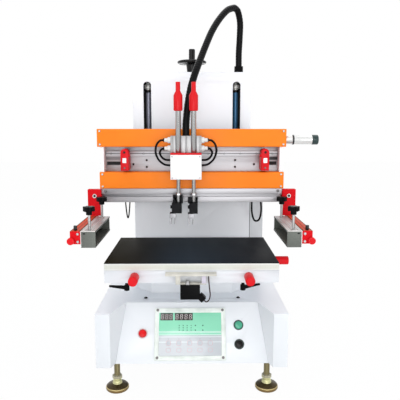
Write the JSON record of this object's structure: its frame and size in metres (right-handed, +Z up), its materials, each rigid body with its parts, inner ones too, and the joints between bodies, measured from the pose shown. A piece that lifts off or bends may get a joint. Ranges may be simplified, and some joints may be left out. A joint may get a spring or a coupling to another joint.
{
  "type": "screen printing machine",
  "caption": "Bench-top pneumatic flat screen printer: vacuum table, lifting column and a head with a traversing twin-rod squeegee carriage.",
  "frame": {"origin": "on the floor, under the middle of the machine's outline without its hoses and cables", "axes": "+X to the machine's right as the operator sees it, +Y to the back, +Z up"},
  "size_m": [0.671, 0.617, 1.0775],
  "materials": {
    "white_coat": "satin powder coat",
    "panel_white": "satin powder coat",
    "bezel_white": "gloss",
    "display_mint": "glossy film",
    "zinc_yellow": "yellow zinc",
    "column_grey": "satin powder coat",
    "chrome_rod": "polished",
    "black_plastic": "moulded",
    "steel_slide": "ground",
    "board_beige": "layered board",
    "table_black": "semi-gloss sheet",
    "red_anodised": "red anodised",
    "red_plastic": "moulded",
    "green_plastic": "moulded",
    "black_gloss": "moulded",
    "aluminium": "clear anodised",
    "orange_anodised": "orange anodised",
    "white_plastic": "moulded",
    "cast_grey": "bead blasted",
    "rubber_black": "matt"
  },
  "bodies": {
    "root": {"base_cabinet": "white_coat", "control_panel": "panel_white", "display_bezel": "bezel_white", "display_window": "display_mint", "levelling_feet": "zinc_yellow", "table_pedestal": "white_coat", "column_housing": "column_grey", "column_front": "column_grey", "guide_rods": "chrome_rod", "side_box": "white_coat", "hose_socket": "black_plastic", "hose_rear": "rubber_black"},
    "handwheel": {"handwheel": "black_plastic"},
    "saddle": {"cross_slide": "steel_slide"},
    "table": {"table_board": "board_beige", "table_skin": "table_black", "vacuum_box": "white_coat", "lock_levers": "black_plastic", "valve_shelf": "board_beige", "vacuum_valve": "black_plastic", "valve_lead": "rubber_black"},
    "knob_left": {"adjust_knob_left": "red_anodised"},
    "knob_right": {"adjust_knob_right": "red_anodised"},
    "knob_side": {"adjust_knob_side": "red_anodised"},
    "red_button": {"red_button": "red_plastic"},
    "green_button": {"green_button": "green_plastic"},
    "black_button": {"black_button": "black_gloss"},
    "head": {"beam_body": "aluminium", "upper_cover": "orange_anodised", "lower_cover": "orange_anodised", "end_cheeks": "white_plastic", "linear_rail": "steel_slide", "lower_beam": "aluminium", "end_stops": "red_anodised", "drive_cylinder": "aluminium", "lift_brackets": "cast_grey", "frame_arms": "red_anodised", "frame_channels": "aluminium", "arm_screws": "red_anodised", "beam_cable": "rubber_black", "sensor_lead": "rubber_black"},
    "clamp_left_front": {"clamp_left_front": "black_plastic"},
    "clamp_left_rear": {"clamp_left_rear": "black_plastic"},
    "clamp_right_front": {"clamp_right_front": "black_plastic"},
    "clamp_right_rear": {"clamp_right_rear": "black_plastic"},
    "carriage": {"carriage_block": "cast_grey", "cylinder_seat": "red_anodised", "cylinder_block": "aluminium", "front_plate": "white_plastic", "air_fittings": "white_plastic", "hose_front": "rubber_black", "air_tube_left": "rubber_black", "air_tube_left_inner": "rubber_black", "air_tube_right": "rubber_black", "air_tube_right_inner": "rubber_black"},
    "squeegee": {"squeegee_rod": "chrome_rod", "squeegee_clamp": "black_plastic"},
    "flood_bar": {"flood_rod": "chrome_rod", "flood_clamp": "black_plastic"}
  },
  "joints": [
    {"name": "head_lift", "type": "slide", "parent": "root", "child": "head", "axis": [0, 0, 1], "range_m": [-0.035, 0.115], "deforming": ["hose_rear", "beam_cable"]},
    {"name": "carriage_traverse", "type": "slide", "parent": "head", "child": "carriage", "axis": [1, 0, 0], "range_m": [-0.112, 0.16], "deforming": ["hose_front"]},
    {"name": "squeegee_lift", "type": "slide", "parent": "carriage", "child": "squeegee", "axis": [0, 0, 1], "range_m": [-0.03, 0]},
    {"name": "flood_bar_lift", "type": "slide", "parent": "carriage", "child": "flood_bar", "axis": [0, 0, 1], "range_m": [-0.03, 0]},
    {"name": "handwheel_turn", "type": "hinge", "parent": "root", "child": "handwheel", "pos_m": [-0.0285, 0.1255, 0.884], "axis": [0, 0, 1], "continuous": true},
    {"name": "table_move_y", "type": "slide", "parent": "root", "child": "saddle", "axis": [0, 1, 0], "range_m": [-0.006, 0.006]},
    {"name": "table_move_x", "type": "slide", "parent": "saddle", "child": "table", "axis": [1, 0, 0], "range_m": [-0.006, 0.006]},
    {"name": "knob_left_turn", "type": "hinge", "parent": "table", "child": "knob_left", "pos_m": [-0.1745, -0.2765, 0.3255], "axis": [0, -1, 0], "continuous": true},
    {"name": "knob_right_turn", "type": "hinge", "parent": "table", "child": "knob_right", "pos_m": [0.1175, -0.2765, 0.3255], "axis": [0, -1, 0], "continuous": true},
    {"name": "knob_side_turn", "type": "hinge", "parent": "table", "child": "knob_side", "pos_m": [0.2165, -0.1065, 0.3255], "axis": [1, 0, 0], "continuous": true},
    {"name": "red_press", "type": "slide", "parent": "root", "child": "red_button", "axis": [0, 0.9089, -0.4171], "range_m": [0, 0.003], "stiffness_N_per_m": 400, "springref_m": -0.003},
    {"name": "green_press", "type": "slide", "parent": "root", "child": "green_button", "axis": [0, 0.9089, -0.4171], "range_m": [0, 0.003], "stiffness_N_per_m": 400, "springref_m": -0.003},
    {"name": "black_press", "type": "slide", "parent": "root", "child": "black_button", "axis": [0, 0.9089, -0.4171], "range_m": [0, 0.003], "stiffness_N_per_m": 400, "springref_m": -0.003},
    {"name": "clamp_left_front_turn", "type": "hinge", "parent": "head", "child": "clamp_left_front", "pos_m": [-0.284, -0.2705, 0.45], "axis": [0, 0, 1], "continuous": true},
    {"name": "clamp_left_rear_turn", "type": "hinge", "parent": "head", "child": "clamp_left_rear", "pos_m": [-0.284, -0.0995, 0.45], "axis": [0, 0, 1], "continuous": true},
    {"name": "clamp_right_front_turn", "type": "hinge", "parent": "head", "child": "clamp_right_front", "pos_m": [0.227, -0.2705, 0.45], "axis": [0, 0, 1], "continuous": true},
    {"name": "clamp_right_rear_turn", "type": "hinge", "parent": "head", "child": "clamp_right_rear", "pos_m": [0.227, -0.0995, 0.45], "axis": [0, 0, 1], "continuous": true}
  ]
}
